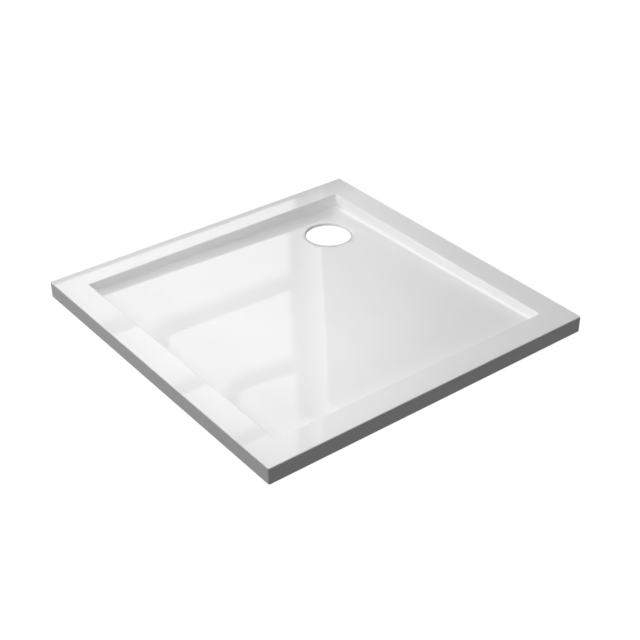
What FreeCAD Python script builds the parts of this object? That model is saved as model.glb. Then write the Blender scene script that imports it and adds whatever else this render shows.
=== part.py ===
"""Square low shower tray, 900 x 900 x 40 mm, of thermoformed acrylic.

The origin is the middle of the tray on the ground, +Z is up, and the waste hole lies towards +X +Y.
The sheet is one shell with a rim, skirts, a drafted basin and a floor of two planes. They meet in a
rounded valley along the tray's diagonal, which falls to the waste hole.
Below it are the laminate, four rim battens, a foam bed and four levelling feet.
"""
import FreeCAD, Part
import math
import os
import Sketcher
from FreeCAD import Placement, Rotation, Vector

# Driving dimensions: alias, value in millimetres or degrees, meaning.
SIZES = [
    ("tray_side", 900, "outer side of the square tray"),
    ("tray_height", 40, "ground to the top of the rim"),
    ("rim_width", 67.7, "outer side to the top of the basin wall"),
    ("skirt_corner_radius", 4, "upright outer corners"),
    ("rim_outer_radius", 3, "outer edge of the rim"),
    ("rim_inner_radius", 4, "edge between the rim and the basin wall"),
    ("floor_low", 6, "ground to the floor's lowest corner, by the waste hole"),
    ("floor_side", 16.5, "ground to the floor's two side corners"),
    ("floor_high", 19.9, "ground to the floor's highest corner"),
    ("basin_corner_radius", 14, "upright corners of the basin"),
    ("wall_draft", 5, "slant of the basin walls in degrees"),
    ("cove_radius", 9.5, "round between wall and floor"),
    ("valley_radius", 9000, "round of the valley between the floor's two halves"),
    ("shell_thickness", 3.5, "acrylic sheet"),
    ("drain_inset", 118.3, "basin wall to the middle of the waste hole"),
    ("drain_radius", 60, "wall of the waste hole"),
    ("drain_lip_radius", 3.5, "round of the floor into the waste hole"),
    ("collar_foot", 1.2, "ground to the lower edge of the waste collar"),
    ("bond_line", 0.1, "resin or glue between two layers"),
    ("laminate_thickness", 1.5, "glass-fibre laminate"),
    ("laminate_foot", 0.5, "ground to the lower edge of the laminate"),
    ("laminate_hole_gap", 0.5, "laminate to the waste collar"),
    ("foam_edge_gap", 4.8, "foam bed to the foot of the cove"),
    ("foam_notch_inset", 134, "middle of the waste hole to the foam bed's notch"),
    ("foam_notch_radius", 25, "inner corner of the notch"),
    ("groove_width", 14, "adhesive groove under the foam bed"),
    ("groove_depth", 1.5, "adhesive groove under the foam bed"),
    ("groove_pitch", 200, "from one adhesive groove to the next"),
    ("groove_count", 3, "adhesive grooves in each direction"),
    ("batten_width", 48, "rim batten"),
    ("batten_joint_gap", 0.4, "gap where two battens meet"),
    ("foot_gap", 0.3, "clearance over and under the stud's collar"),
    ("stud_radius", 5, "M10 stud"),
    ("stud_top_gap", 2.3, "stud's end to the laminate, with the foot screwed in"),
    ("stud_clearance", 0.05, "radial clearance of the stud in nut and pad"),
    ("collar_height", 3, "hexagon collar of the stud"),
    ("hexagon_width", 17, "across the flats of nut and collar"),
    ("nut_height", 8, "weld nut"),
    ("nut_pocket_clearance", 0.7, "nut's corners to its pocket in the batten"),
    ("pad_width", 40, "square foot of the plastic pad"),
    ("pad_corner_cut", 9, "cut corners of the pad's foot"),
    ("pad_height", 7, "plastic pad"),
    ("pad_foot_height", 2.5, "flat foot of the pad"),
    ("pad_hub_width", 18, "across the flats of the pad's eight-sided hub"),
    ("pad_sole", 3, "plastic under the stud"),
    ("pad_rib_width", 2, "ribs from hub to foot"),
    ("pad_rib_count", 4, "ribs from hub to foot"),
    ("plate_thickness", 2, "steel corner plate"),
    ("plate_width", 42, "arm of the corner plate"),
    ("plate_reach", 80, "stud to the end of an arm"),
    ("plate_corner_cut", 5, "cut corners of the plate"),
    ("plate_stud_clearance", 0.5, "stud to the plate's hole"),
    ("screw_reach", 60, "stud to the screw of an arm"),
    ("screw_radius", 2.5, "shank of a wood screw"),
    ("screw_length", 16, "under the head"),
    ("screw_head_width", 8, "across the flats of the hexagon head"),
    ("screw_head_height", 2.6, "hexagon head"),
    ("screw_hole_clearance", 0.3, "shank to the plate's hole"),
    ("pilot_clearance", 0.05, "shank to the batten's pilot hole"),
]

doc = FreeCAD.newDocument("shower_tray")
sizes = doc.addObject("Spreadsheet::Sheet", "sizes")
for row, (alias, number, meaning) in enumerate(SIZES, start=1):
    sizes.set("A%d" % row, alias)
    sizes.set("B%d" % row, str(number))
    sizes.set("C%d" % row, meaning)
    sizes.setAlias("B%d" % row, alias)
doc.recompute()

# Places that several pieces share, as expressions on the sheet.
BASIN_HALF = "(sizes.tray_side / 2 - sizes.rim_width)"
DRAIN_CENTRE = "(%s - sizes.drain_inset)" % BASIN_HALF
BASIN_DIAGONAL = "(2 * sqrt(2) * %s)" % BASIN_HALF
FLOOR_MIDDLE = "((sizes.floor_low + sizes.floor_high) / 2)"
FLOOR_TILT = "atan((sizes.floor_high - sizes.floor_low) / %s)" % BASIN_DIAGONAL
CROSS_TILT = "atan(2 * (sizes.floor_side - %s) / %s)" % (FLOOR_MIDDLE, BASIN_DIAGONAL)
LAMINATE_TOP = "(sizes.shell_thickness + sizes.bond_line)"
LAMINATE_UNDER = "(%s + sizes.laminate_thickness)" % LAMINATE_TOP
FOOT_CENTRE = "(sizes.tray_side / 2 - sizes.rim_width / 2)"
COLLAR_LOW = "(sizes.pad_height + sizes.foot_gap)"
PLATE_LOW = "(%s + sizes.collar_height + sizes.foot_gap)" % COLLAR_LOW
PLATE_TOP = "(%s + sizes.plate_thickness)" % PLATE_LOW
STUD_TOP = "(sizes.tray_height - %s - sizes.stud_top_gap)" % LAMINATE_UNDER
NUT_CORNER = "(sizes.hexagon_width / sqrt(3))"
OVERCUT = "1"  # how far a cutting tool reaches past what it cuts

# Corner name, sign of X, sign of Y, and the turn that points both arms of its plate along the rim.
CORNERS = [
    ("back", 1, 1, 0),
    ("left", -1, 1, 90),
    ("front", -1, -1, 180),
    ("right", 1, -1, 270),
]

parts = []


def value(expression):
    """The number that an expression on the sheet gives now."""
    return FreeCAD.Units.Quantity(str(sizes.evalExpression(expression))).Value


def bind(thing, **expressions):
    """Bind properties, with __ for the dots in their names, to expressions on the sheet."""
    for name, expression in expressions.items():
        thing.setExpression(name.replace("__", "."), expression)
    return thing


def new_body(name):
    return doc.addObject("PartDesign::Body", name)


def keep(thing, label):
    """Make an object a sub-part under its own label."""
    thing.Label = label
    parts.append(thing)
    return thing


def attach(sketch, body, plane, height="0"):
    """Lay a sketch on one of its body's planes, `height` along the plane's normal."""
    planes = [feature for feature in body.Origin.OriginFeatures if feature.Role == plane]
    sketch.AttachmentSupport = [(planes[0], "")]
    sketch.MapMode = "FlatFace"
    sketch.setExpression("AttachmentOffset.Base.z", height)


def outline(body, name, points, height="0", plane="XY_Plane", hollow=None):
    """A closed sketch through points that are pairs of expressions on the sheet.

    `hollow` names one side, by its first point, that is an arc, and gives the arc's radius. The arc
    runs from left to right round a centre above it.
    """
    sketch = body.newObject("Sketcher::SketchObject", name)
    attach(sketch, body, plane, height)
    corners = [Vector(value(x), value(y), 0) for x, y in points]
    for index, corner in enumerate(corners):
        following = corners[(index + 1) % len(corners)]
        side = Part.LineSegment(corner, following)
        if hollow and hollow[0] == index:
            half_chord = (following - corner).Length / 2
            sag = value(hollow[1]) - math.sqrt(value(hollow[1]) ** 2 - half_chord ** 2)
            side = Part.Arc(corner, (corner + following) / 2 - Vector(0, sag, 0), following)
        sketch.addGeometry(side, False)
    for index in range(len(corners)):
        following = (index + 1) % len(corners)
        sketch.addConstraint(Sketcher.Constraint("Coincident", index, 2, following, 1))
    for index, pair in enumerate(points):
        for axis, expression in zip("XY", pair):
            kind = "Distance" + axis
            number = sketch.addConstraint(Sketcher.Constraint(kind, -1, 1, index, 1, value(expression)))
            label = "%s%d" % (axis.lower(), index)
            sketch.renameConstraint(number, label)
            sketch.setExpression("Constraints." + label, expression)
    if hollow:
        number = sketch.addConstraint(Sketcher.Constraint("Radius", hollow[0], value(hollow[1])))
        sketch.renameConstraint(number, "hollow")
        sketch.setExpression("Constraints.hollow", hollow[1])
    return sketch


def square(body, name, half, height="0"):
    """A sketch of a square centred on the origin."""
    low = "-(%s)" % half
    return outline(body, name, [(low, low), (half, low), (half, half), (low, half)], height)


def polygon(body, name, width, sides, height="0"):
    """A sketch of a regular polygon centred on the origin, `width` across its flats."""
    corner = "(%s / 2 / cos(%g))" % (width, 180 / sides)
    turns = [360 * (index + 0.5) / sides for index in range(sides)]
    points = [("%s * cos(%g)" % (corner, turn), "%s * sin(%g)" % (corner, turn)) for turn in turns]
    return outline(body, name, points, height)


def pad(body, name, sketch, length, **more):
    feature = body.newObject("PartDesign::Pad", name)
    feature.Profile = sketch
    return bind(feature, Length=length, **more)


def pocket_through(body, name, sketch, upwards=False):
    feature = body.newObject("PartDesign::Pocket", name)
    feature.Profile = sketch
    feature.Type = "ThroughAll"
    feature.Reversed = upwards
    return feature


def revolve(body, name, sketch, kind="PartDesign::Revolution"):
    """Turn a sketch on the XZ plane once around Z."""
    feature = body.newObject(kind, name)
    feature.Profile = sketch
    feature.ReferenceAxis = (sketch, ["V_Axis"])
    feature.Angle = 360
    return feature


def round_edges(body, name, radius, test, kind="PartDesign::Fillet"):
    """Round or chamfer the edges of the body's last feature that pass a test."""
    doc.recompute()
    base = body.Tip
    edges = ["Edge%d" % (index + 1) for index, edge in enumerate(base.Shape.Edges) if test(edge)]
    if not edges:
        raise ValueError("no edge found for " + name)
    feature = body.newObject(kind, name)
    feature.Base = (base, edges)
    size = "Radius" if kind == "PartDesign::Fillet" else "Size"
    return bind(feature, **{size: radius})


def slant_sides(body, name, angle):
    """Draft the body's four sides inwards from its top face."""
    doc.recompute()
    base = body.Tip
    faces = list(enumerate(base.Shape.Faces, start=1))
    sides = ["Face%d" % index for index, face in faces if abs(face.normalAt(0, 0).z) < 0.5]
    top = max(faces, key=lambda pair: pair[1].CenterOfMass.z)
    feature = body.newObject("PartDesign::Draft", name)
    feature.Base = (base, sides)
    feature.NeutralPlane = (base, ["Face%d" % top[0]])
    feature.Reversed = True
    return bind(feature, Angle=angle)


def middle_of(edge):
    return edge.valueAt((edge.FirstParameter + edge.LastParameter) / 2)


def is_upright(edge):
    """True for an edge that climbs more than it runs sideways."""
    reach = edge.BoundBox
    return reach.ZLength > max(reach.XLength, reach.YLength)


def is_level_at(height):
    """A test for edges that lie flat at one height."""
    return lambda edge: abs(edge.BoundBox.ZMin - height) < 1e-4 and abs(edge.BoundBox.ZMax - height) < 1e-4


def cylinder(name, radius, low, high, x="0", y="0"):
    """An upright cylinder between two heights."""
    feature = doc.addObject("Part::Cylinder", name)
    height = "%s - (%s)" % (high, low)
    return bind(feature, Radius=radius, Height=height,
                Placement__Base__x=x, Placement__Base__y=y, Placement__Base__z=low)


def box(name, x, y, z):
    """A box between two expressions along each axis."""
    feature = doc.addObject("Part::Box", name)
    return bind(feature,
                Length="%s - (%s)" % (x[1], x[0]), Width="%s - (%s)" % (y[1], y[0]),
                Height="%s - (%s)" % (z[1], z[0]),
                Placement__Base__x=x[0], Placement__Base__y=y[0], Placement__Base__z=z[0])


def cut(name, base, tool):
    feature = doc.addObject("Part::Cut", name)
    feature.Base = base
    feature.Tool = tool
    return feature


def common(name, base, tool):
    feature = doc.addObject("Part::Common", name)
    feature.Base = base
    feature.Tool = tool
    return feature


def compound(name, links):
    feature = doc.addObject("Part::Compound", name)
    feature.Links = links
    return feature


# ---- the sheet and its laminate: surfaces at one offset below the wet side -------------------------


def ground_below(name, offset):
    """All that lies below the floor lowered by an offset: a long bar along the tray's diagonal.

    Its section is a wide V whose two flanks meet in an arc. The bar's own X axis runs down the valley.
    """
    body = new_body(name)
    radius = "(sizes.valley_radius + %s)" % offset
    vertex = "(-(%s) / cos(%s))" % (offset, CROSS_TILT)
    reach = "sizes.tray_side"
    shoulder = "(%s + %s * tan(%s))" % (vertex, reach, CROSS_TILT)
    tangent = "(%s * tan(%s / 2))" % (radius, CROSS_TILT)
    bend_x = "(%s * cos(%s))" % (tangent, CROSS_TILT)
    bend_y = "(%s + %s * sin(%s))" % (vertex, tangent, CROSS_TILT)
    bottom = "-2 * sizes.tray_height"
    points = [("-" + reach, shoulder), ("-" + bend_x, bend_y), (bend_x, bend_y), (reach, shoulder),
              (reach, bottom), ("-" + reach, bottom)]
    section = outline(body, name + "_section", points, plane="YZ_Plane", hollow=(1, radius))
    section.AttachmentOffset = Placement(Vector(0, 0, 0), Rotation(Vector(1, 0, 0), 1))
    bind(section, AttachmentOffset__Rotation__Angle=FLOOR_TILT, AttachmentOffset__Base__y=FLOOR_MIDDLE)
    pad(body, name + "_bar", section, "4 * sizes.tray_side").Midplane = True
    body.Placement = Placement(Vector(0, 0, 0), Rotation(Vector(0, 0, 1), 45))
    return body


def foot_of_walls(shape):
    """Middle points of the edges where the floor's faces end at the walls."""
    edges = []
    for face in shape.Faces:
        low_u, high_u, low_v, high_v = face.ParameterRange
        normal = face.normalAt((low_u + high_u) / 2, (low_v + high_v) / 2)
        if abs(normal.z) > 0.99 and face.BoundBox.ZMax < value("0.9 * sizes.tray_height"):
            edges += face.Edges
    return [middle_of(edge) for edge in edges if sum(edge.isSame(other) for other in edges) == 1]


def basin_form(name, offset):
    """The space inside the basin, grown by an offset: drafted walls, falling floor, cove.

    The wet side has a round cove. Grown forms have a flat one, as far from it at its middle as the offset.
    """
    block = new_body(name + "_space")
    half = "(%s + (%s) / cos(sizes.wall_draft))" % (BASIN_HALF, offset)
    mouth = square(block, name + "_mouth", half, "sizes.tray_height")
    pad(block, name + "_block", mouth, "sizes.tray_height").Reversed = True
    slant_sides(block, name + "_draft", "sizes.wall_draft")
    round_edges(block, name + "_corners", "sizes.basin_corner_radius + %s" % offset, is_upright)
    above = cut(name + "_above_floor", block, ground_below(name + "_ground", offset))
    doc.recompute()

    body = new_body(name)
    body.BaseFeature = above
    doc.recompute()
    feet = foot_of_walls(body.Shape)
    cove, kind = "sizes.cove_radius", "PartDesign::Fillet"
    if offset != "0":
        cove, kind = "(2 - sqrt(2)) * (sizes.cove_radius + %s)" % offset, "PartDesign::Chamfer"
    round_edges(body, name + "_cove", cove,
                lambda edge: any(middle_of(edge).isEqual(foot, 1e-4) for foot in feet), kind)
    return body


def cavity(name, offset, foot):
    """The hollow under the tray at an offset: inside the skirts, under the rim and the basin."""
    half = "(sizes.tray_side / 2 - %s)" % offset
    span = ("-" + half, half)
    inside = box(name + "_inside", span, span, (foot, "(sizes.tray_height - %s)" % offset))
    return cut(name, inside, basin_form(name + "_basin", offset))


def make_tray_shell():
    """One sheet: outer block less the basin, less the hollow below, with a collar round the hole."""
    block = new_body("tray_block")
    pad(block, "tray_block_pad", square(block, "tray_outline", "sizes.tray_side / 2"), "sizes.tray_height")
    round_edges(block, "tray_block_corners", "sizes.skirt_corner_radius", is_upright)
    round_edges(block, "tray_block_rim", "sizes.rim_outer_radius", is_level_at(value("sizes.tray_height")))

    collar_radius = "sizes.drain_radius + sizes.shell_thickness"
    collar = cylinder("collar_outside", collar_radius, "sizes.collar_foot", "sizes.tray_height",
                      DRAIN_CENTRE, DRAIN_CENTRE)
    hollow = cut("shell_hollow", cavity("shell_cavity", "sizes.shell_thickness", "-" + OVERCUT), collar)
    hole = cylinder("waste_hole", "sizes.drain_radius", "-" + OVERCUT, "sizes.tray_height",
                    DRAIN_CENTRE, DRAIN_CENTRE)
    solid_rim = cut("block_less_basin", block, basin_form("basin", "0"))
    sheet = cut("block_less_hollow", solid_rim, hollow)
    holed = cut("sheet_with_hole", sheet, hole)
    doc.recompute()

    body = new_body("tray_shell")
    body.BaseFeature = holed
    doc.recompute()
    inner_edge = value("(%s + sizes.tray_side / 2) / 2" % BASIN_HALF)

    def round_the_mouth(edge):
        return is_level_at(value("sizes.tray_height"))(edge) and edge.BoundBox.XMax < inner_edge \
            and edge.BoundBox.XMin > -inner_edge and edge.BoundBox.YMax < inner_edge \
            and edge.BoundBox.YMin > -inner_edge

    round_edges(body, "rim_inner_round", "sizes.rim_inner_radius", round_the_mouth)
    centre = value(DRAIN_CENTRE)
    reach = value("sizes.drain_radius")

    def round_the_hole(edge):
        middle = middle_of(edge)
        distance = math.hypot(middle.x - centre, middle.y - centre)
        return abs(distance - reach) < 1e-3 and edge.BoundBox.ZMin > value("sizes.collar_foot + 1e-3")

    round_edges(body, "waste_lip", "sizes.drain_lip_radius", round_the_hole)
    keep(body, "tray_shell")


def make_fibreglass_backing():
    """Laminate between two offsets of the wet side, open round the waste collar."""
    outside = cavity("laminate_outside", LAMINATE_TOP, "sizes.laminate_foot")
    inside = cavity("laminate_inside", LAMINATE_UNDER, "-" + OVERCUT)
    skin = cut("laminate_skin", outside, inside)
    radius = "sizes.drain_radius + sizes.shell_thickness + sizes.laminate_hole_gap"
    opening = cylinder("laminate_opening", radius, "-" + OVERCUT, "sizes.tray_height",
                       DRAIN_CENTRE, DRAIN_CENTRE)
    keep(cut("laminate", skin, opening), "fibreglass_backing")


# ---- the foam bed -----------------------------------------------------------------------------------


def foam_grooves(body, name, points, direction):
    """Parallel adhesive grooves cut into the foam's sole."""
    sketch = outline(body, name + "_outline", points)
    groove = body.newObject("PartDesign::Pocket", name)
    groove.Profile = sketch
    groove.Reversed = True
    bind(groove, Length="sizes.groove_depth")
    doc.recompute()
    row = body.newObject("PartDesign::LinearPattern", name + "_row")
    row.Originals = [groove]
    row.Direction = (sketch, [direction])
    bind(row, Length="sizes.groove_pitch * (sizes.groove_count - 1)", Occurrences="sizes.groove_count")
    body.Tip = row
    doc.recompute()


def make_foam_bed():
    """A wedge that fills the space between the floor and the ground, with a notch for the waste."""
    block = new_body("foam_block")
    half = "(%s - sizes.cove_radius - sizes.foam_edge_gap)" % BASIN_HALF
    pad(block, "foam_block_pad", square(block, "foam_outline", half), "sizes.tray_height")
    ground = ground_below("foam_ground", LAMINATE_UNDER + " + sizes.bond_line")
    below_floor = common("foam_wedge", block, ground)
    doc.recompute()

    body = new_body("foam")
    body.BaseFeature = below_floor
    doc.recompute()
    low = "(%s - sizes.foam_notch_inset)" % DRAIN_CENTRE
    high = "(%s + %s)" % (half, OVERCUT)
    notch = outline(body, "foam_notch_outline", [(low, low), (high, low), (high, high), (low, high)])
    pocket_through(body, "foam_notch", notch, upwards=True)
    corner = value(low)

    def in_the_notch(edge):
        middle = middle_of(edge)
        return is_upright(edge) and math.hypot(middle.x - corner, middle.y - corner) < 1e-3

    round_edges(body, "foam_notch_round", "sizes.foam_notch_radius", in_the_notch)

    first = "-(sizes.groove_pitch * (sizes.groove_count - 1) + sizes.groove_width) / 2"
    second = "(%s + sizes.groove_width)" % first
    end = "(%s + %s)" % (half, OVERCUT)
    along_x = [("-" + end, first), (end, first), (end, second), ("-" + end, second)]
    foam_grooves(body, "groove_x", along_x, "V_Axis")
    foam_grooves(body, "groove_y", [(y, x) for x, y in along_x], "H_Axis")
    keep(body, "foam_bed")


# ---- the rim battens, bored for the nuts and screws of the feet -------------------------------------


def screw_places():
    """Foot-local X and Y of the screws: one on each arm of a plate."""
    return [("-sizes.screw_reach", "0"), ("0", "-sizes.screw_reach")]


def turned(x, y, turn):
    """A foot-local place turned by a quarter, half or three quarters of a turn."""
    steps = {0: (x, y), 90: ("-(%s)" % y, x), 180: ("-(%s)" % x, "-(%s)" % y), 270: (y, "-(%s)" % x)}
    return steps[turn]


def screw_axes():
    """Corner name, index, X and Y of every plate screw in the tray."""
    axes = []
    for corner, sign_x, sign_y, turn in CORNERS:
        for index, (x, y) in enumerate(screw_places()):
            local_x, local_y = turned(x, y, turn)
            across = "%d * %s + %s" % (sign_x, FOOT_CENTRE, local_x)
            along = "%d * %s + %s" % (sign_y, FOOT_CENTRE, local_y)
            axes.append((corner, index, across, along))
    return axes


def batten_bores():
    """All that the feet need cut from the battens: square pockets for the nuts, and pilot holes."""
    reach = "(%s + sizes.nut_pocket_clearance)" % NUT_CORNER
    bores = []
    for corner, sign_x, sign_y, _ in CORNERS:
        spans = [("%d * %s - %s" % (sign, FOOT_CENTRE, reach), "%d * %s + %s" % (sign, FOOT_CENTRE, reach))
                 for sign in (sign_x, sign_y)]
        bores.append(box("nut_pocket_" + corner, spans[0], spans[1], (PLATE_LOW, "sizes.tray_height")))
    for corner, index, x, y in screw_axes():
        high = "(%s + sizes.screw_length + sizes.pilot_clearance)" % PLATE_LOW
        bores.append(cylinder("pilot_%s_%d" % (corner, index), "sizes.screw_radius + sizes.pilot_clearance",
                              PLATE_LOW, high, x, y))
    return compound("batten_bores", bores)


def make_rim_battens():
    """Front and back battens run the full width, left and right ones fit between them."""
    bores = batten_bores()
    top = "(sizes.tray_height - %s - sizes.bond_line)" % LAMINATE_UNDER
    inner = "(%s - sizes.batten_width / 2)" % FOOT_CENTRE
    outer = "(%s + sizes.batten_width / 2)" % FOOT_CENTRE
    between = "(%s - sizes.batten_joint_gap)" % inner
    heights = (PLATE_TOP, top)
    rows = [
        ("front", ("-" + outer, outer), ("-" + outer, "-" + inner)),
        ("back", ("-" + outer, outer), (inner, outer)),
        ("left", ("-" + outer, "-" + inner), ("-" + between, between)),
        ("right", (inner, outer), ("-" + between, between)),
    ]
    for side, x, y in rows:
        board = box("board_" + side, x, y, heights)
        keep(cut("batten_" + side, board, bores), "rim_batten_" + side)


# ---- the four levelling feet ------------------------------------------------------------------------


def place_at_corner(thing, sign_x, sign_y, turn, height):
    """Move a foot's piece from the origin to its corner of the tray."""
    thing.Placement = Placement(Vector(0, 0, 0), Rotation(Vector(0, 0, 1), turn))
    bind(thing, Placement__Base__x="%d * %s" % (sign_x, FOOT_CENTRE),
         Placement__Base__y="%d * %s" % (sign_y, FOOT_CENTRE), Placement__Base__z=height)


def holes_through(body, name, radius, places):
    """Round holes up through a body that stands on its XY plane."""
    sketch = body.newObject("Sketcher::SketchObject", name + "_circles")
    attach(sketch, body, "XY_Plane")
    for index, (x, y) in enumerate(places):
        circle = Part.Circle(Vector(value(x), value(y), 0), Vector(0, 0, 1), value(radius))
        sketch.addGeometry(circle, False)
        measures = [("Radius", (index,), radius), ("DistanceX", (-1, 1, index, 3), x),
                    ("DistanceY", (-1, 1, index, 3), y)]
        for kind, places_on, expression in measures:
            number = sketch.addConstraint(Sketcher.Constraint(kind, *places_on, value(expression)))
            label = "%s%d" % (kind.lower(), index)
            sketch.renameConstraint(number, label)
            sketch.setExpression("Constraints." + label, expression)
    return pocket_through(body, name, sketch, upwards=True)


def make_foot_plate(corner, sign_x, sign_y, turn):
    """An L of sheet steel that ties two battens together and carries the nut."""
    body = new_body("plate_" + corner)
    edge = "sizes.plate_width / 2"
    reach = "-sizes.plate_reach"
    points = [(edge, edge), (reach, edge), (reach, "-" + edge), ("-" + edge, "-" + edge),
              ("-" + edge, reach), (edge, reach)]
    pad(body, "plate_blank_" + corner, outline(body, "plate_outline_" + corner, points),
        "sizes.plate_thickness")
    round_edges(body, "plate_corners_" + corner, "sizes.plate_corner_cut", is_upright, "PartDesign::Chamfer")
    holes_through(body, "plate_stud_hole_" + corner, "sizes.stud_radius + sizes.plate_stud_clearance",
                  [("0", "0")])
    holes_through(body, "plate_screw_holes_" + corner, "sizes.screw_radius + sizes.screw_hole_clearance",
                  screw_places())
    place_at_corner(body, sign_x, sign_y, turn, PLATE_LOW)
    keep(body, "foot_plate_" + corner)


def make_foot_nut(corner, sign_x, sign_y, turn):
    """A hexagon weld nut that stands on the plate inside the batten's pocket."""
    body = new_body("nut_" + corner)
    pad(body, "nut_hexagon_" + corner, polygon(body, "nut_outline_" + corner, "sizes.hexagon_width", 6),
        "sizes.nut_height")
    holes_through(body, "nut_bore_" + corner, "sizes.stud_radius + sizes.stud_clearance", [("0", "0")])
    place_at_corner(body, sign_x, sign_y, turn, PLATE_TOP)
    keep(body, "foot_nut_" + corner)


def make_foot_stud(corner, sign_x, sign_y, turn):
    """A stud that turns in the pad, with a hexagon collar for a spanner."""
    body = new_body("stud_" + corner)
    foot = "(sizes.pad_sole + sizes.foot_gap)"
    points = [("0", foot), ("sizes.stud_radius", foot), ("sizes.stud_radius", STUD_TOP), ("0", STUD_TOP)]
    revolve(body, "stud_turned_" + corner, outline(body, "stud_profile_" + corner, points, plane="XZ_Plane"))
    collar = polygon(body, "collar_outline_" + corner, "sizes.hexagon_width", 6, COLLAR_LOW)
    pad(body, "stud_collar_" + corner, collar, "sizes.collar_height")
    place_at_corner(body, sign_x, sign_y, turn, "0")
    keep(body, "foot_stud_" + corner)


def make_foot_pad(corner, sign_x, sign_y, turn):
    """A plastic pad: a square foot and a ribbed hub, which is a blind bearing for the stud."""
    body = new_body("foot_pad_body_" + corner)
    foot = square(body, "pad_foot_outline_" + corner, "sizes.pad_width / 2")
    pad(body, "pad_foot_" + corner, foot, "sizes.pad_foot_height")
    round_edges(body, "pad_corners_" + corner, "sizes.pad_corner_cut", is_upright, "PartDesign::Chamfer")
    hub = polygon(body, "pad_hub_outline_" + corner, "sizes.pad_hub_width", 8)
    pad(body, "pad_hub_" + corner, hub, "sizes.pad_height")

    hub = "(sizes.pad_hub_width / 2 - sizes.pad_rib_width / 2)"
    toe = "(sizes.pad_width / 2 - sizes.pad_rib_width)"
    points = [(hub, "sizes.pad_foot_height / 2"), (toe, "sizes.pad_foot_height / 2"),
              (toe, "sizes.pad_foot_height"), (hub, "sizes.pad_height - sizes.foot_gap")]
    rib = pad(body, "pad_rib_" + corner, outline(body, "rib_profile_" + corner, points, plane="XZ_Plane"),
              "sizes.pad_rib_width")
    rib.Midplane = True
    doc.recompute()
    ribs = body.newObject("PartDesign::PolarPattern", "pad_ribs_" + corner)
    ribs.Originals = [rib]
    ribs.Axis = ([feature for feature in body.Origin.OriginFeatures if feature.Role == "Z_Axis"][0], [""])
    ribs.Angle = 360
    bind(ribs, Occurrences="sizes.pad_rib_count")
    body.Tip = ribs
    bore = "(sizes.stud_radius + sizes.stud_clearance)"
    points = [("0", "sizes.pad_sole"), (bore, "sizes.pad_sole"), (bore, "sizes.pad_height + " + OVERCUT),
              ("0", "sizes.pad_height + " + OVERCUT)]
    bearing = outline(body, "bore_profile_" + corner, points, plane="XZ_Plane")
    revolve(body, "pad_bore_" + corner, bearing, "PartDesign::Groove")
    place_at_corner(body, sign_x, sign_y, turn, "0")
    keep(body, "foot_pad_" + corner)


def make_plate_screws():
    """Eight wood screws with hexagon heads, driven up through the plates into the battens."""
    screw = new_body("plate_screw")
    head = polygon(screw, "screw_head_outline", "sizes.screw_head_width", 6)
    pad(screw, "screw_head", head, "sizes.screw_head_height").Reversed = True
    shank = "sizes.screw_radius"
    inside = "(-sizes.screw_head_height / 2)"
    points = [("0", inside), (shank, inside), (shank, "sizes.screw_length"), ("0", "sizes.screw_length")]
    revolve(screw, "screw_shank", outline(screw, "screw_profile", points, plane="XZ_Plane"))
    doc.recompute()
    low = value(PLATE_LOW)
    copies = []
    for _, _, x, y in screw_axes():
        copy = screw.Shape.copy()
        copy.translate(Vector(value(x), value(y), low))
        copies.append(copy)
    group = doc.addObject("Part::Feature", "screw_group")
    group.Shape = Part.makeCompound(copies)
    group.Placement = Placement()
    keep(group, "plate_screws")


def check_document():
    """Stop if any object failed or any sub-part isn't a sound solid."""
    doc.recompute()
    for thing in doc.Objects:
        if "Invalid" in thing.State or "Error" in thing.State:
            raise RuntimeError("%s failed: %s" % (thing.Label, thing.State))
    for part in parts:
        shape = part.Shape
        if shape.isNull() or not shape.isValid() or not shape.Solids:
            raise RuntimeError("%s has no sound solid" % part.Label)


make_tray_shell()
make_fibreglass_backing()
make_foam_bed()
make_rim_battens()
for place in CORNERS:
    make_foot_plate(*place)
    make_foot_nut(*place)
    make_foot_stud(*place)
    make_foot_pad(*place)
make_plate_screws()
check_document()

os.makedirs("parts", exist_ok=True)
for part in parts:
    part.Shape.exportStep(os.path.join("parts", part.Label + ".step"))
    bounds = part.Shape.BoundBox
    print("%-20s solids %2d  volume %9.0f  x %.1f..%.1f  y %.1f..%.1f  z %.1f..%.1f" % (
        part.Label, len(part.Shape.Solids), part.Shape.Volume, bounds.XMin, bounds.XMax,
        bounds.YMin, bounds.YMax, bounds.ZMin, bounds.ZMax))
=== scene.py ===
"""A square low shower tray: a glossy white moulded shell with its backing, foam bed, battens and feet."""

import math

import bpy
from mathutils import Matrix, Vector
from mathutils.geometry import delaunay_2d_cdt


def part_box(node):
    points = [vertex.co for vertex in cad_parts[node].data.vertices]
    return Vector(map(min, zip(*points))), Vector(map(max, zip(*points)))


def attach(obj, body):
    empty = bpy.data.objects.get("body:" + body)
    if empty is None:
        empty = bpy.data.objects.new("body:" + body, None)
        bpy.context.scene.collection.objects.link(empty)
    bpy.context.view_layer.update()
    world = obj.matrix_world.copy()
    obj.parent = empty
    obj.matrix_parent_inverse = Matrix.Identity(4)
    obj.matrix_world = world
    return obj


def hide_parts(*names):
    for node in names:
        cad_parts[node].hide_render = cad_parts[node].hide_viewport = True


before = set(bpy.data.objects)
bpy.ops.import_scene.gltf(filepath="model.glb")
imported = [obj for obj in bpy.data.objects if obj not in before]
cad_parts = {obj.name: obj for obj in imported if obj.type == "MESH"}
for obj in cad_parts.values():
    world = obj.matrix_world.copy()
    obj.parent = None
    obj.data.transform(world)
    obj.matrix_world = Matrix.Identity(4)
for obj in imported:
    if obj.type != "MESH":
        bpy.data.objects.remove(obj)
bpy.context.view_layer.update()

# ---------------------------------------------------------------- tray shell
# One sheet of cast acrylic, heated and drawn down over a mould: rim, skirts, basin and the collar of
# the waste hole are one skin. Its show side keeps the mould's high gloss with a trace of draw ripple.


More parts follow.
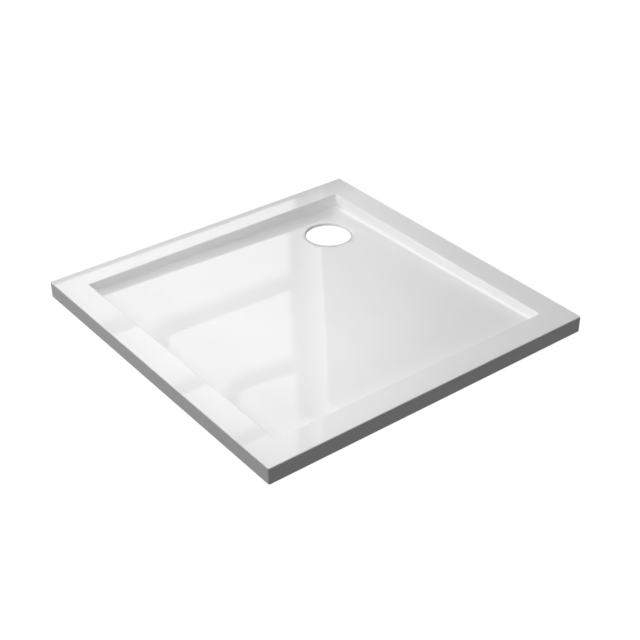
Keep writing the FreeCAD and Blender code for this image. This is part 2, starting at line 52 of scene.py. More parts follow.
class Wire:
    """An output socket that sums can be written with: each operator adds its Math node to the tree."""

    def __init__(self, tree, socket):
        self.tree, self.socket = tree, socket

    @staticmethod
    def node(tree, kind, settings=None, sockets=None, out=0):
        """Adds a node of that type: its settings first, then the values or links of its sockets."""
        made = tree.nodes.new("ShaderNode" + kind)
        for key, value in (settings or {}).items():
            if key == "stops":
                ramp = made.color_ramp.elements
                while len(ramp) < len(value):
                    ramp.new(1.0)
                for stop, (place, colour) in zip(ramp, value):
                    stop.position, stop.color = place, (*colour, 1.0)
            else:
                setattr(made, key, value)
        for key, value in (sockets or {}).items():
            if isinstance(value, Wire):
                tree.links.new(value.socket, made.inputs[key])
            else:
                made.inputs[key].default_value = value
        return Wire(tree, made.outputs[out])

    def maths(self, operation, first, second=0.0):
        return Wire.node(self.tree, "Math", {"operation": operation}, {0: first, 1: second})

    def __add__(self, other):
        return self.maths("ADD", self, other)

    __radd__ = __add__

    def __mul__(self, other):
        return self.maths("MULTIPLY", self, other)

    __rmul__ = __mul__

    def __sub__(self, other):
        return self.maths("SUBTRACT", self, other)

    def __rsub__(self, other):
        return self.maths("SUBTRACT", other, self)

    def __truediv__(self, other):
        return self.maths("DIVIDE", self, other)

    def larger(self, other):
        return self.maths("MAXIMUM", self, other)

    def over(self, other):
        return self.maths("GREATER_THAN", self, other)

    def modulo(self, other):
        return self.maths("MODULO", self, other)

    def unsigned(self):
        return self.maths("ABSOLUTE", self)

    def axis(self, letter):
        """The X, Y or Z of a vector."""
        return Wire.node(self.tree, "SeparateXYZ", None, {"Vector": self}, out=letter)

    def ease(self, start, end):
        """0 before start, 1 after end, smooth between."""
        values = {"Value": self, "From Min": start, "From Max": end}
        return Wire.node(self.tree, "MapRange", {"interpolation_type": "SMOOTHSTEP"}, values)


class Finish:
    """A material around one principled shader."""

    def __init__(self, name, **constants):
        self.material = bpy.data.materials.new(name)
        self.material.use_nodes = True
        self.tree = self.material.node_tree
        self.shader = self.tree.nodes["Principled BSDF"]
        for key, value in constants.items():
            self.shader.inputs[key.replace("_", " ")].default_value = value

    def node(self, kind, settings=None, sockets=None, out=0):
        return Wire.node(self.tree, kind, settings, sockets, out)

    def place(self):
        """Where a point is on the part, in metres."""
        return self.node("TexCoord", out="Object")

    def turned(self, angles, scale):
        """The place, turned by three angles in degrees and stretched along the three axes."""
        turns = [math.radians(angle) for angle in angles]
        values = {"Vector": self.place(), "Rotation": turns, "Scale": scale}
        return self.node("Mapping", {"vector_type": "TEXTURE"}, values)

    def noise(self, size, detail=2.0, place=None, roughness=0.5):
        """Soft noise whose lumps are about size metres across."""
        values = {"Vector": place or self.place(), "Scale": 1.0 / size,
                  "Detail": detail, "Roughness": roughness}
        return self.node("TexNoise", {"noise_dimensions": "3D"}, values)

    def cells(self, size, feature="F1", out="Distance"):
        """Cells about size metres across: a distance in them, or a colour for each."""
        values = {"Vector": self.place(), "Scale": 1.0 / size}
        return self.node("TexVoronoi", {"feature": feature}, values, out)

    def feed(self, socket, value):
        if isinstance(value, Wire):
            self.tree.links.new(value.socket, self.shader.inputs[socket])
        else:
            self.shader.inputs[socket].default_value = value

    def colours(self, factor, *stops):
        """A colour for each value from 0 to 1."""
        return self.node("ValToRGB", {"stops": stops}, {"Fac": factor})

    def mix(self, factor, first, second):
        return self.node("Mix", {"data_type": "RGBA"}, {0: factor, 6: first, 7: second}, out=2)

    def bump(self, height, depth, below=None):
        """Relief of that depth in metres, over the relief below it."""
        values = {"Height": height, "Distance": depth}
        if below:
            values["Normal"] = below
        return self.node("Bump", None, values)

    def show(self, shader):
        """Puts another shader on the surface."""
        self.tree.links.new(shader.socket, self.tree.nodes["Material Output"].inputs["Surface"])

    def wear(self, *nodes):
        """Gives the finish to CAD nodes."""
        for name in nodes:
            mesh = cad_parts[name].data
            mesh.materials.clear()
            mesh.materials.append(self.material)


class Skin:
    """A closed mesh grown ring by ring. Each ring is joined to the one before by a band of quads."""

    sharp_angle = math.radians(35)

    def __init__(self):
        self.points, self.faces, self.last = [], [], None

    def band(self, now):
        for i, here in enumerate(now):
            ahead = now[(i + 1) % len(now)]
            before, before_ahead = self.last[i], self.last[(i + 1) % len(now)]
            self.faces.append((before, before_ahead, ahead, here))
        self.last = now

    def ring(self, points, joined=True):
        """Adds a ring of points, and gives their numbers in the mesh."""
        now = list(range(len(self.points), len(self.points) + len(points)))
        self.points += points
        if joined and self.last:
            self.band(now)
        self.last = now
        return now

    def tile(self, numbers, triangles):
        self.faces += [tuple(numbers[corner] for corner in triangle) for triangle in triangles]

    def piece(self, name, finish, slot, body, *nodes):
        """Puts the skin in the scene, in the place of CAD nodes and on their body."""
        mesh = bpy.data.meshes.new(name)
        mesh.from_pydata(self.points, [], self.faces)
        mesh.shade_smooth()
        mesh.set_sharp_from_angle(angle=self.sharp_angle)
        mesh.materials.append(finish.material)
        made = bpy.data.objects.new(name, mesh)
        bpy.context.scene.collection.objects.link(made)
        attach(made, body)
        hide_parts(*nodes)


shell_low, shell_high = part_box("tray_shell")
HALF, TOP = shell_high.x, shell_high.z
SHEET = 0.0035
SKIRT_CORNER, RIM_OUTER_ROUND = 0.004, 0.0022
RIM = 0.0688
BASIN_CORNER, RIM_INNER_ROUND = 0.004, 0.0022
MOULD_HALF, MOULD_CORNER = 0.3823, 0.014  # the basin that the underside and the layers below it follow
DRAFT, COVE = math.radians(5), 0.0095
FLOOR_LOW, FLOOR_SIDE, FLOOR_HIGH = 0.0060, 0.0165, 0.0199
VALLEY_ROUND = 9.0
MARGIN_START, MARGIN_ROUND = 0.328, 1.5  # along the walls the floor curves up a little
MARGIN_RINGS = (0.3690, 0.3640, 0.3580, 0.3520, 0.3460, 0.3400, 0.3340)
TILED_HALF = MARGIN_START + 0.0005  # inside this square the floor has tiles in place of rings
HOLE_MIDDLE, HOLE, LIP, COLLAR_FOOT = 0.264, 0.060, 0.0035, shell_low.z + 0.0012
SIDE_STEPS, CORNER_STEPS, ROUND_STEPS, HOLE_STEPS = 36, 8, 8, 96


def floor_height(x, y, margins=True):
    """Two planes that fall to a rounded valley along the diagonal, and from there to the waste."""
    reach = math.sqrt(2) * MOULD_HALF
    along, across = (x + y) / math.sqrt(2), abs(x - y) / math.sqrt(2)
    middle = (FLOOR_LOW + FLOOR_HIGH) / 2
    slant = (FLOOR_SIDE - middle) / reach
    bend = VALLEY_ROUND * slant
    rise = slant * across if across > bend else slant * bend / 2 + across ** 2 / (2 * VALLEY_ROUND)
    if margins:
        rise += sum(max(0.0, abs(place) - MARGIN_START) ** 2 for place in (x, y)) / (2 * MARGIN_ROUND)
    return middle - along * (FLOOR_HIGH - FLOOR_LOW) / (2 * reach) + rise


# Columns run round the tray: a quarter turn, then a share of the straight side or an angle in the corner.
columns = []
for turn in range(4):
    columns += [(turn, -math.cos(math.pi * i / SIDE_STEPS), 0.0) for i in range(SIDE_STEPS + 1)]
    columns += [(turn, 1.0, math.pi / 2 * i / CORNER_STEPS) for i in range(1, CORNER_STEPS)]


def round_square(half, corner):
    """The columns' places on a square with rounded corners."""
    places = []
    for turn, share, angle in columns:
        x = half - corner + corner * math.cos(angle)
        y = share * (half - corner) + corner * math.sin(angle)
        for _ in range(turn):
            x, y = -y, x
        places.append((x, y))
    return places


def level_ring(half, corner, z):
    return [(x, y, z) for x, y in round_square(half, corner)]


def floor_ring(half, corner):
    return [(x, y, floor_height(x, y)) for x, y in round_square(half, corner)]


def cove_rings():
    """Rings round the cove, tangent to the slanting wall and to the floor below each column."""
    foot, step = 0.011, 0.001  # the floor's slope is taken this far from the wall, over this step
    halves = [BASIN_HALF - foot - shift for shift in (-step, 0, step)]
    heights = [[z for _, _, z in floor_ring(half, BASIN_CORNER)] for half in halves]
    rings = [[] for _ in range(ROUND_STEPS + 1)]
    for column, (before, here, after) in enumerate(zip(*heights)):
        slope = (after - before) / (2 * step)
        ground = here - foot * slope
        length = math.hypot(1.0, slope)
        drop = TOP - ground + COVE * (math.sin(DRAFT) - slope * math.cos(DRAFT) - length)
        drop /= 1 + slope * math.tan(DRAFT)
        inward, up = drop * math.tan(DRAFT) + COVE * math.cos(DRAFT), TOP - drop + COVE * math.sin(DRAFT)
        first, last = math.pi + DRAFT, 1.5 * math.pi + math.atan(slope)
        for step_number, ring in enumerate(rings):
            angle = first + (last - first) * step_number / ROUND_STEPS
            half = BASIN_HALF - inward - COVE * math.cos(angle)
            x, y = round_square(half, BASIN_CORNER)[column]
            ring.append((x, y, up + COVE * math.sin(angle)))
    return rings


def hole_ring(radius, height):
    """A ring round the waste hole, at a height that may follow the floor."""
    ring = []
    for i in range(HOLE_STEPS):
        x = HOLE_MIDDLE + radius * math.cos(math.tau * i / HOLE_STEPS)
        y = HOLE_MIDDLE + radius * math.sin(math.tau * i / HOLE_STEPS)
        ring.append((x, y, height(x, y)))
    return ring


BASIN_HALF = HALF - RIM
SUPPORT = 0.0003  # a narrow band beside each round keeps the flat next to it flat in the gloss
WALL_SUPPORT = 0.94  # the same above the cove, as a share of the way down the wall
sheet = Skin()
bottom = sheet.ring(level_ring(HALF, SKIRT_CORNER, 0.0))
sheet.ring(level_ring(HALF, SKIRT_CORNER, TOP - RIM_OUTER_ROUND - SUPPORT))
for i in range(ROUND_STEPS + 1):
    angle = math.pi / 2 * i / ROUND_STEPS
    inset = RIM_OUTER_ROUND * (1 - math.cos(angle))
    drop = RIM_OUTER_ROUND * (1 - math.sin(angle))
    sheet.ring(level_ring(HALF - inset, SKIRT_CORNER - inset, TOP - drop))
sheet.ring(level_ring(HALF - RIM_OUTER_ROUND - SUPPORT, SKIRT_CORNER - RIM_OUTER_ROUND, TOP))
lip_start = RIM_INNER_ROUND * math.tan((math.pi / 2 - DRAFT) / 2)
sheet.ring(level_ring(BASIN_HALF + lip_start + SUPPORT, BASIN_CORNER, TOP))
for i in range(ROUND_STEPS + 1):
    angle = (math.pi / 2 - DRAFT) * i / ROUND_STEPS
    half = BASIN_HALF + lip_start - RIM_INNER_ROUND * math.sin(angle)
    sheet.ring(level_ring(half, BASIN_CORNER, TOP - RIM_INNER_ROUND * (1 - math.cos(angle))))
deep = RIM_INNER_ROUND + SUPPORT
sheet.ring(level_ring(BASIN_HALF - deep * math.tan(DRAFT), BASIN_CORNER, TOP - deep))
cove = cove_rings()
wall_top = sheet.points[-len(columns):]
sheet.ring([tuple(Vector(a).lerp(Vector(b), WALL_SUPPORT)) for a, b in zip(wall_top, cove[0])])
for ring in cove:
    sheet.ring(ring)
for half in MARGIN_RINGS:
    sheet.ring(floor_ring(half, BASIN_CORNER))
edge = sheet.ring(floor_ring(TILED_HALF, BASIN_CORNER))
around = sheet.ring(hole_ring(HOLE + LIP, floor_height), joined=False)

# The floor inside those rings is tiled between lines along and across the valley. Near the valley the
# lines lie closer together.
TILE, VALLEY_TILE, TILE_MARGIN = 0.015, 0.006, 0.004
VALLEY_LINES, SIDE_LINES, CROSS_LINES = 10, 27, 31
lines = [VALLEY_TILE * i for i in range(VALLEY_LINES + 1)]
lines += [lines[-1] + TILE * i for i in range(1, SIDE_LINES + 1)]
lines = [-line for line in lines[:0:-1]] + lines
inside = []
for along in (TILE * i for i in range(-CROSS_LINES, CROSS_LINES + 1)):
    for across in lines:
        x, y = (along + across) / math.sqrt(2), (along - across) / math.sqrt(2)
        clear_of_hole = math.hypot(x - HOLE_MIDDLE, y - HOLE_MIDDLE) > HOLE + LIP + TILE_MARGIN
        if max(abs(x), abs(y)) < MARGIN_START - TILE_MARGIN and clear_of_hole:
            inside.append((x, y, floor_height(x, y)))
numbers = edge + around + list(range(len(sheet.points), len(sheet.points) + len(inside)))
sheet.points += inside
flat = [Vector(sheet.points[number][:2]) for number in numbers]
loops = [(i, (i + 1) % len(edge)) for i in range(len(edge))]
loops += [(len(edge) + i, len(edge) + (i + 1) % len(around)) for i in range(len(around))]
INSIDE_ONLY, MERGE = 1, 1e-7
HOLE_TILES = HOLE + 0.8 * LIP  # a tile whose middle is nearer the hole's middle than this lies in the hole
places, _, triangles, origins, _, _ = delaunay_2d_cdt(flat, loops, [], INSIDE_ONLY, MERGE)
source = [origin[0] for origin in origins]
tiles = []
for triangle in triangles:
    a, b, c = (places[corner] for corner in triangle)
    centre = (a + b + c) / 3
    if (centre - Vector((HOLE_MIDDLE, HOLE_MIDDLE))).length > HOLE_TILES:
        wanted = [source[corner] for corner in triangle]
        tiles.append(wanted if (b - a).cross(c - a) > 0 else wanted[::-1])
sheet.tile(numbers, tiles)

sheet.last = around
lip_heights = [sheet.points[number][2] for number in around]
for i in range(1, ROUND_STEPS + 1):
    angle = math.pi / 2 * i / ROUND_STEPS
    radius, drop = HOLE + LIP * (1 - math.sin(angle)), LIP * (1 - math.cos(angle))
    ring = hole_ring(radius, floor_height)
    sheet.ring([(x, y, z - drop) for (x, y, _), z in zip(ring, lip_heights)])
sheet.ring(hole_ring(HOLE, lambda x, y: COLLAR_FOOT))
sheet.ring(hole_ring(HOLE + SHEET, lambda x, y: COLLAR_FOOT))


def underside(x, y):
    return floor_height(x, y, margins=False) - SHEET


UNDER_CORNER, SHARP_CORNER = MOULD_CORNER + SHEET, 0.0005
UNDER_HALF = MOULD_HALF + SHEET / math.cos(DRAFT)
BEVEL = (2 - math.sqrt(2)) * (COVE + SHEET)
around_below = sheet.ring(hole_ring(HOLE + SHEET, underside))
below = [(x, y, underside(x, y)) for x, y in round_square(TILED_HALF, BASIN_CORNER)]
edge_below = sheet.ring(below, joined=False)
inside_below = list(range(len(sheet.points), len(sheet.points) + len(inside)))
sheet.points += [(x, y, underside(x, y)) for x, y, _ in inside]
sheet.tile(edge_below + around_below + inside_below, [triangle[::-1] for triangle in tiles])
sheet.last = edge_below
bevel_foot, bevel_top = [], []
for column, (x, y) in enumerate(round_square(UNDER_HALF, UNDER_CORNER)):
    ground = underside(x, y)
    foot = (TOP - ground) * math.tan(DRAFT)
    x, y = round_square(UNDER_HALF - (foot + BEVEL), UNDER_CORNER)[column]
    bevel_foot.append((x, y, underside(x, y)))
    x, y = round_square(UNDER_HALF - (foot - BEVEL * math.sin(DRAFT)), UNDER_CORNER)[column]
    bevel_top.append((x, y, ground + BEVEL * math.cos(DRAFT)))
sheet.ring(bevel_foot)
sheet.ring(bevel_top)
sheet.ring(level_ring(UNDER_HALF - SHEET * math.tan(DRAFT), UNDER_CORNER, TOP - SHEET))
sheet.ring(level_ring(HALF - SHEET, SHARP_CORNER, TOP - SHEET))
sheet.ring(level_ring(HALF - SHEET, SHARP_CORNER, 0.0))
sheet.band(bottom)

ACRYLIC_WHITE = (0.955, 0.955, 0.952, 1)
ACRYLIC_THIN = (0.945, 0.947, 0.947, 1)
TINT_SIZE, RIPPLE_SIZE, SKIN_SIZE, WIPE_SIZE = 0.09, 0.14, 0.004, 0.03
RIPPLE_DEPTH, SKIN_DEPTH = 0.000006, 0.0000006
GLOSS, WIPED = 0.010, 0.015
WIPE_TURN, WIPE_STRETCH = (0, 0, 35), (1.0, 4.0, 1.0)
acrylic = Finish("acrylic", IOR=1.49)
tint = acrylic.noise(TINT_SIZE, 2.0).ease(0.35, 0.65)
wiping = acrylic.noise(WIPE_SIZE, 3.0, acrylic.turned(WIPE_TURN, WIPE_STRETCH))
ripple = acrylic.bump(acrylic.noise(RIPPLE_SIZE, 0.0), RIPPLE_DEPTH)
acrylic.feed("Base Color", acrylic.mix(tint, ACRYLIC_WHITE, ACRYLIC_THIN))
acrylic.feed("Roughness", GLOSS + WIPED * wiping.ease(0.45, 0.8))
acrylic.feed("Normal", acrylic.bump(acrylic.noise(SKIN_SIZE, 2.0), SKIN_DEPTH, below=ripple))
sheet.piece("shell_sheet", acrylic, "acrylic", "root", "tray_shell")

# ---------------------------------------------------------------- glass-fibre backing
# Chopped glass strand and polyester resin, sprayed on the back of the sheet and rolled down. It cures
# rough: bundles of strand lie at all angles under a glaze of straw-coloured resin.

RESIN = (0.62, 0.58, 0.42, 1)
GLASS = (0.84, 0.83, 0.74, 1)
PUDDLE = (0.47, 0.42, 0.27, 1)
LAYS = ((8, 12), (43, -20), (71, 35), (104, -8), (139, 24), (163, -31))  # turn and lean, degrees
SIDE_LEAN = 0.7  # of the lean, about the other axis
BUNDLE_SIZE, BUNDLE_DEPTH, BUNDLE_STRETCH = 0.0032, 0.0005, (16.0, 0.9, 0.9)
PUDDLE_SIZE, PUDDLE_DEPTH = 0.05, 0.0012
laminate = Finish("laminate", Specular_IOR_Level=0.45)
strands = None
for turn, lean in LAYS:
    along = laminate.turned((lean, lean * SIDE_LEAN, turn), BUNDLE_STRETCH)
    bundle = laminate.noise(BUNDLE_SIZE, 1.0, along).ease(0.56, 0.66)
    strands = strands.larger(bundle) if strands else bundle
wetting = laminate.noise(PUDDLE_SIZE, 3.0)
resin = laminate.mix(wetting.ease(0.35, 0.7), RESIN, PUDDLE)
laminate.feed("Base Color", laminate.mix(0.75 * strands, resin, GLASS))
laminate.feed("Roughness", 0.32 + 0.3 * strands)
puddles = laminate.bump(wetting, PUDDLE_DEPTH)
laminate.feed("Normal", laminate.bump(strands, BUNDLE_DEPTH, below=puddles))
laminate.wear("fibreglass_backing")

# ---------------------------------------------------------------- foam bed
# A wedge of rigid foam, steam-moulded from expanded beads. It fills the room between the sloping floor
# and the ground, so a foot on the floor feels nothing give.

FOAM_WHITE = (0.88, 0.89, 0.90, 1)
FOAM_SEAM = (0.70, 0.72, 0.74, 1)
BEAD_SIZE, SEAM_DEPTH = 0.0042, 0.0003
SWELL_SIZE, SWELL_DEPTH = 0.012, 0.0006
foam = Finish("foam", Roughness=0.85, Specular_IOR_Level=0.25)
seam = foam.cells(BEAD_SIZE, "DISTANCE_TO_EDGE").ease(0.0, 0.10)
bead = foam.mix(0.04, FOAM_WHITE, foam.cells(BEAD_SIZE))
swell = foam.bump(foam.noise(SWELL_SIZE, 2.0), SWELL_DEPTH)
foam.feed("Base Color", foam.mix(seam, FOAM_SEAM, bead))
foam.feed("Normal", foam.bump(seam, SEAM_DEPTH, below=swell))
foam.wear("foam_bed")

# ---------------------------------------------------------------- rim battens
# Strips sawn from birch plywood and laid in wet laminate under the rim. They stiffen it and take the
# screws of the feet. Faces show the grain along the strip, sawn edges show the plies.

PLY = 0.0032
GRAIN_SIZE, GRAIN_DEPTH, GROWTH_SIZE, GRAIN_STRETCH = 0.0035, 0.0004, 0.018, 14.0
DARK_PLY, PALE_PLY = (0.34, 0.21, 0.11, 1), (0.70, 0.54, 0.36, 1)
FACE_GRAIN = ((0.30, (0.40, 0.26, 0.14)), (0.50, (0.66, 0.49, 0.31)), (0.72, (0.78, 0.62, 0.43)))
for name in ("rim_batten_front", "rim_batten_right", "rim_batten_back", "rim_batten_left"):
    low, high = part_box(name)
    wood = Finish(name + "_plywood", Specular_IOR_Level=0.3)
    runs_along_y = high.x - low.x < high.y - low.y
    along = wood.turned((0, 0, 0), (1.0, GRAIN_STRETCH, 1.0) if runs_along_y else (GRAIN_STRETCH, 1.0, 1.0))
    grain = wood.noise(GRAIN_SIZE, 3.0, along, 0.6)
    growth = wood.noise(GROWTH_SIZE, 2.0, along, 0.45)
    layer = (wood.place().axis("Z") - low.z) / PLY
    sawn = 1.0 - wood.node("NewGeometry", out="Normal").axis("Z").unsigned().ease(0.4, 0.6)
    face = wood.colours(0.55 * grain + 0.45 * growth, *FACE_GRAIN)
    plies = wood.mix(layer.modulo(2.0).over(1.0), DARK_PLY, PALE_PLY)
    wood.feed("Base Color", wood.mix(0.8 * sawn, face, plies))
    wood.feed("Roughness", 0.62 + 0.2 * grain)
    wood.feed("Normal", wood.bump(grain, GRAIN_DEPTH))
    wood.wear(name)

# ---------------------------------------------------------------- levelling feet
# A chamfered plate of zinc-plated steel is screwed to the two battens that meet in a corner. A nut is
# welded on it, an M10 stud turns in the nut, and the stud's end turns in a moulded plastic pad.

CORNERS = ("back", "left", "front", "right")
ZINC_TONES = ((0.15, (0.50, 0.51, 0.53)), (0.5, (0.63, 0.64, 0.65)), (0.9, (0.74, 0.73, 0.68)))
CRYSTAL_SIZE, BLOOM_SIZE, PLATING_SIZE, PLATING_DEPTH = 0.0035, 0.02, 0.0012, 0.00003
zinc = Finish("zinc", Metallic=1.0)
crystal = zinc.node("SeparateColor", None, {"Color": zinc.cells(CRYSTAL_SIZE, out="Color")}, out="Red")
bloom = zinc.noise(BLOOM_SIZE, 3.0)
zinc.feed("Base Color", zinc.colours(0.2 * crystal + 0.8 * bloom, *ZINC_TONES))
zinc.feed("Roughness", 0.30 + 0.05 * crystal + 0.14 * bloom)
zinc.feed("Normal", zinc.bump(zinc.noise(PLATING_SIZE, 2.0), PLATING_DEPTH))

PAD_TONES = ((0.35, (0.028, 0.028, 0.030)), (0.75, (0.085, 0.085, 0.09)))
SCUFF_SIZE, PAD_GRAIN_SIZE, PAD_GRAIN_DEPTH = 0.006, 0.0006, 0.00004
pad_plastic = Finish("pad", Specular_IOR_Level=0.4)
scuff = pad_plastic.noise(SCUFF_SIZE, 4.0, roughness=0.65)
pad_plastic.feed("Base Color", pad_plastic.colours(scuff, *PAD_TONES))
pad_plastic.feed("Roughness", 0.42 + 0.25 * scuff)
pad_plastic.feed("Normal", pad_plastic.bump(pad_plastic.noise(PAD_GRAIN_SIZE, 1.0), PAD_GRAIN_DEPTH))

# The thread is rolled, so each ring's radius rises and falls with the turn of the helix.
PITCH, ROOT, CREST = 0.0015, 0.00418, 0.0050
ROOT_SHARE, FLANK_SHARE = 0.25, 0.62
STUD_SIDES, RINGS_A_TURN = 36, 8
COLLAR_FOOT_ABOVE_END, COLLAR_HEIGHT, COLLAR_FLATS = 0.0040, 0.0030, 0.0170
CHAMFER_START, CHAMFER_SLOPE, END_CHAMFER = 0.0083, math.tan(math.radians(30)), 0.0009
LEAST_FACE_STEP, LEAST_CHAMFER = 0.00005, 0.00003


def hexagon(angle):
    """The radius of the collar, which has a corner at angle 0."""
    return COLLAR_FLATS / 2 / math.cos(angle % (math.pi / 3) - math.pi / 6)


def thread(angle, z):
    """The radius of the right-hand thread at an angle and a height."""
    crest_distance = 2 * abs((z / PITCH - angle / math.tau) % 1.0 - 0.5)
    share = min(1.0, max(0.0, (crest_distance - ROOT_SHARE) / FLANK_SHARE))
    return ROOT + (CREST - ROOT) * share


def rolled_stud(low, high, corner_angle):
    """A threaded stud between two heights, whose collar has a corner at that angle."""
    made, stem = Skin(), (low + high) / 2
    angles = [corner_angle + math.tau * i / STUD_SIDES for i in range(STUD_SIDES)]

    def ring(radii, heights):
        rows = zip(angles, radii, heights)
        return made.ring([(stem.x + r * math.cos(a), stem.y + r * math.sin(a), z) for a, r, z in rows])

    def level(radius, z):
        return ring([radius] * STUD_SIDES, [z] * STUD_SIDES)

    collar_low = low.z + COLLAR_FOOT_ABOVE_END
    collar_high = collar_low + COLLAR_HEIGHT
    collar = [hexagon(angle - corner_angle) for angle in angles]
    face = [min(CHAMFER_START, radius - LEAST_FACE_STEP) for radius in collar]
    chamfer = [max(LEAST_CHAMFER, (radius - CHAMFER_START) * CHAMFER_SLOPE) for radius in collar]
    made.faces.append(tuple(level(CREST - END_CHAMFER, low.z)[::-1]))
    level(CREST, low.z + END_CHAMFER)
    level(CREST, collar_low)
    ring(face, [collar_low] * STUD_SIDES)
    ring(collar, [collar_low + depth for depth in chamfer])
    ring(collar, [collar_high - depth for depth in chamfer])
    ring(face, [collar_high] * STUD_SIDES)
    level(ROOT, collar_high)
    steps = int((high.z - collar_high) / PITCH * RINGS_A_TURN)
    for i in range(1, steps + 1):
        z = collar_high + (high.z - collar_high) * i / steps
        share = max(0.0, min(1.0, (z - collar_high) / PITCH, (high.z - z) / END_CHAMFER))
        limit = ROOT + share * (CREST - ROOT)
        end = ring([min(limit, thread(angle, z)) for angle in angles], [z] * STUD_SIDES)
    made.faces.append(tuple(end))
    return made


for corner in CORNERS:
    zinc.wear("foot_plate_" + corner, "foot_nut_" + corner)
    pad_plastic.wear("foot_pad_" + corner)
    cad_stud = "foot_stud_" + corner
    low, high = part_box(cad_stud)
    ways = [point.co - (low + high) / 2 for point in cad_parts[cad_stud].data.vertices]
    peak = max(ways, key=lambda way: math.hypot(way.x, way.y))
    stud = rolled_stud(low, high, math.atan2(peak.y, peak.x))
    stud.piece("threaded_stud_" + corner, zinc, "zinc", "stud_" + corner, cad_stud)

# ---------------------------------------------------------------- plate screws
# Eight hexagon-headed wood screws of steel, zinc-plated and then yellow-passivated. Two go up through
# each plate into the battens.

YELLOW_TONES = ((0.3, (0.60, 0.50, 0.30)), (0.55, (0.72, 0.64, 0.42)), (0.8, (0.66, 0.66, 0.60)))
CLOUD_SIZE = 0.004
yellow_zinc = Finish("passivated_zinc", Metallic=1.0)
cloud = yellow_zinc.noise(CLOUD_SIZE, 2.0)
yellow_zinc.feed("Base Color", yellow_zinc.colours(cloud, *YELLOW_TONES))
yellow_zinc.feed("Roughness", 0.24 + 0.2 * cloud)
yellow_zinc.wear("plate_screws")

# ---------------------------------------------------------------- stage
# A white floor, clear from below so that the underside can be looked at, and a white cloth hung all
# round, far off. Both glow by themselves, and they neither light the tray nor show in its gloss.

WHITE, BLACK = (1, 1, 1, 1), (0, 0, 0, 1)
FLOOR_REACH, FLOOR_DROP = 30, 0.0004
BACKDROP_RADIUS, BACKDROP_SIDES, BACKDROP_HALF_HEIGHT = 25.0, 48, 25.0


def studio_piece(name, points, faces, finish, *unseen_by):
    """A mesh of the studio, which the named kinds of ray don't meet."""
    mesh = bpy.data.meshes.new(name)
    mesh.from_pydata(points, [], faces)
    mesh.materials.append(finish.material)
    made = bpy.data.objects.new(name, mesh)
    bpy.context.scene.collection.objects.link(made)
    for ray in unseen_by:
        setattr(made, "visible_" + ray, False)


def glowing(name, **constants):
    """A finish that is plain white in any light."""
    made = Finish(name, **constants)
    made.feed("Base Color", BLACK)
    made.feed("Emission Color", WHITE)
    made.feed("Emission Strength", 1.0)
    return made


pale = glowing("pale_floor", Roughness=0.9)
lit, clear = Wire(pale.tree, pale.shader.outputs["BSDF"]), pale.node("BsdfTransparent")
from_below = pale.node("NewGeometry", out="Backfacing")
pale.show(pale.node("MixShader", None, {0: from_below, 1: lit, 2: clear}))
square = [(-1, -1), (1, -1), (1, 1), (-1, 1)]
studio_piece("studio_floor", [(FLOOR_REACH * x, FLOOR_REACH * y, -FLOOR_DROP) for x, y in square],
             [(0, 1, 2, 3)], pale, "diffuse", "glossy", "shadow")

angles = [math.tau * i / BACKDROP_SIDES for i in range(BACKDROP_SIDES)]
ring = [(BACKDROP_RADIUS * math.cos(angle), BACKDROP_RADIUS * math.sin(angle)) for angle in angles]
corners = [(x, y, z) for z in (-BACKDROP_HALF_HEIGHT, BACKDROP_HALF_HEIGHT) for x, y in ring]
foot = list(range(BACKDROP_SIDES))
head = [BACKDROP_SIDES + i for i in foot]
sides = [(i, (i + 1) % BACKDROP_SIDES, head[(i + 1) % BACKDROP_SIDES], head[i]) for i in foot]
cloth = glowing("backdrop_cloth", Roughness=1.0, Specular_IOR_Level=0.0)
studio_piece("backdrop", corners, sides + [tuple(foot), tuple(head)], cloth, "diffuse", "glossy", "shadow")

# ---------------------------------------------------------------- light
# A tall window with three level bars stands behind the tray's back side, with a bright wall beside it
# and a dark one below. Only the gloss shows this wall. Lamps all round light the tray, and the gloss
# shows none of them but the broad one below.

WALL_Y, WALL_ENDS, WALL_FOOT, WALL_HEAD = 3.0, (-6, 9), -0.5, 7
PANE, BAR = 3.1, 1.9
BARS, BAR_FLAT, BAR_FADED = (2.142, 2.700, 3.253), 0.065, 0.150  # upper edges, and depths below them
WINDOW_FOOT, WINDOW_SIDE, SIDE_BLUR = 1.724, 2.197, 0.03
NEAR_TONE, TONE_FALL, FALL_START, FALL_END = 1.95, 0.80, 2.4, 3.6
STRIPE_START, STRIPE_END = 2.26, 2.395
DARK_SHARE, DARK_BELOW, BRIGHT_ABOVE = 0.9, 1.62, 1.86
glow = Finish("window_glow")
place = glow.place()
across, up = place.axis("X"), place.axis("Z")
pane = PANE
for edge in BARS:
    below = edge - up
    pane = pane - (PANE - BAR) * below.over(0.0) * (1.0 - below.ease(BAR_FLAT, BAR_FADED))
plaster = NEAR_TONE - TONE_FALL * across.ease(FALL_START, FALL_END)
stripe = ((across - STRIPE_START) / (STRIPE_END - STRIPE_START)).larger(0.0)
stripe = stripe * (1.0 - across.over(STRIPE_END))
plaster = (plaster + stripe) * (1.0 - DARK_SHARE * (1.0 - up.ease(DARK_BELOW, BRIGHT_ABOVE)))
in_window = (1.0 - across.ease(WINDOW_SIDE - SIDE_BLUR, WINDOW_SIDE + SIDE_BLUR)) * up.over(WINDOW_FOOT)
radiance = in_window * pane + (1.0 - in_window) * plaster
glow.show(glow.node("Emission", None, {"Color": WHITE, "Strength": radiance}))
glow.material.cycles.emission_sampling = "NONE"
left, right = WALL_ENDS
outline = [(left, WALL_FOOT), (right, WALL_FOOT), (right, WALL_HEAD), (left, WALL_HEAD)]
studio_piece("window_wall", [(x, WALL_Y, z) for x, z in outline], [(0, 1, 2, 3)], glow,
             "camera", "diffuse", "shadow")


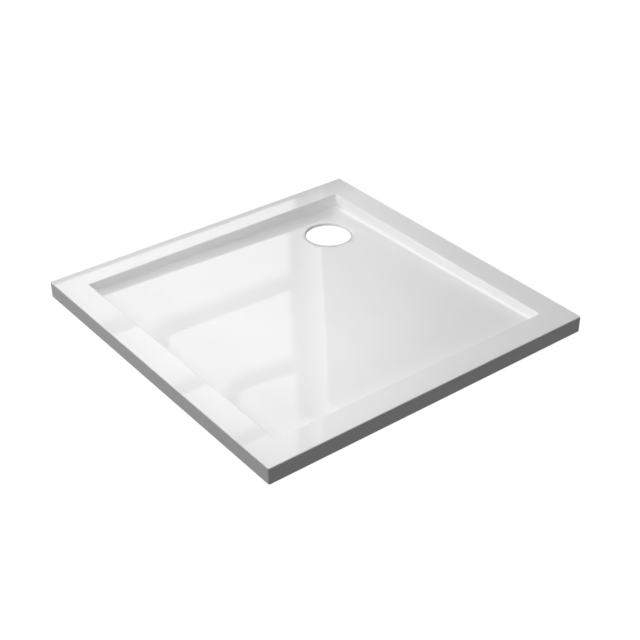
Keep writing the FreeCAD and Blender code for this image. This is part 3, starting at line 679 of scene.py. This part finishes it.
def lamp(name, place, target, width, height, power):
    """A soft lamp that the gloss doesn't show."""
    data = bpy.data.lights.new(name, "AREA")
    data.shape, data.size, data.size_y, data.energy = "RECTANGLE", width, height, power
    lit = bpy.data.objects.new(name, data)
    bpy.context.scene.collection.objects.link(lit)
    lit.location = place
    lit.rotation_mode = "QUATERNION"
    lit.rotation_quaternion = (Vector(target) - Vector(place)).to_track_quat("-Z", "Y")
    lit.visible_glossy = lit.visible_camera = False
    return lit


lamp("ceiling_light", (-0.60, -0.10, 2.60), (-0.60, -0.10, 0), 3.0, 3.0, 18)
lamp("basin_light", (-0.34, -0.14, 0.82), (0.38, 0.06, 0), 0.60, 0.60, 1.9)
lamp("side_light", (-3.20, 0.25, 0.50), (0.38, 0.10, 0.03), 1.1, 0.25, 22)
lamp("front_light", (0.15, -3.20, 0.50), (0.0, 0.38, 0.03), 1.1, 0.25, 9)
lamp("near_tube", (-1.87, 2.75, 2.60), (-1.87, 2.75, 0), 0.50, 2.4, 40)
lamp("far_tube", (-4.40, 4.30, 2.60), (-4.40, 4.30, 0), 1.00, 3.4, 130)
lamp("under_light", (-0.4, 0.9, -3.0), (-0.4, 0.9, 0), 4.0, 4.0, 55).visible_glossy = True

# Low black cards by the front and left skirts keep the two low lamps off them.
CARD_AWAY, CARD_TOP, CARD_START, CARD_END = 0.55, 0.062, -0.7, 0.9
card_black = Finish("card_black", Roughness=1.0)
card_black.feed("Base Color", (0.01, 0.01, 0.01, 1))
outline = [(CARD_START, 0), (CARD_END, 0), (CARD_END, CARD_TOP), (CARD_START, CARD_TOP)]
studio_piece("left_card", [(-CARD_AWAY, along, z) for along, z in outline], [(0, 1, 2, 3)], card_black,
             "camera", "diffuse", "glossy")
studio_piece("front_card", [(along, -CARD_AWAY, z) for along, z in outline], [(0, 1, 2, 3)], card_black,
             "camera", "diffuse", "glossy")

# The room is dim, and lighter overhead than underfoot.
SKY, GROUND, HAZE_LOW, HAZE_HIGH = 0.20, 0.06, -0.1, 0.5
world = bpy.data.worlds.new("room")
bpy.context.scene.world = world
world.use_nodes = True
background = world.node_tree.nodes["Background"]
rise = Wire.node(world.node_tree, "TexCoord", out="Generated").axis("Z")
room = GROUND + (SKY - GROUND) * rise.ease(HAZE_LOW, HAZE_HIGH)
background.inputs["Color"].default_value = WHITE
world.node_tree.links.new(room.socket, background.inputs["Strength"])

# ---------------------------------------------------------------- camera
# The photograph's viewpoint, solved from the tray's own corners. The tray fills the frame as it does
# there.

CAMERA_PLACE = Vector((-1.5882, -2.0710, 1.6780))
LOOK_BACK = Vector((-0.5161, -0.6605, 0.5454))
LENS, SENSOR = 72.88, 36.0
eye = bpy.data.cameras.new("camera")
eye.lens, eye.sensor_width = LENS, SENSOR
camera = bpy.data.objects.new("camera", eye)
bpy.context.scene.collection.objects.link(camera)
camera.rotation_mode = "QUATERNION"
camera.location = CAMERA_PLACE
camera.rotation_quaternion = (-LOOK_BACK).to_track_quat("-Z", "Y")
bpy.context.scene.camera = camera
bpy.context.scene.view_settings.view_transform = "Standard"
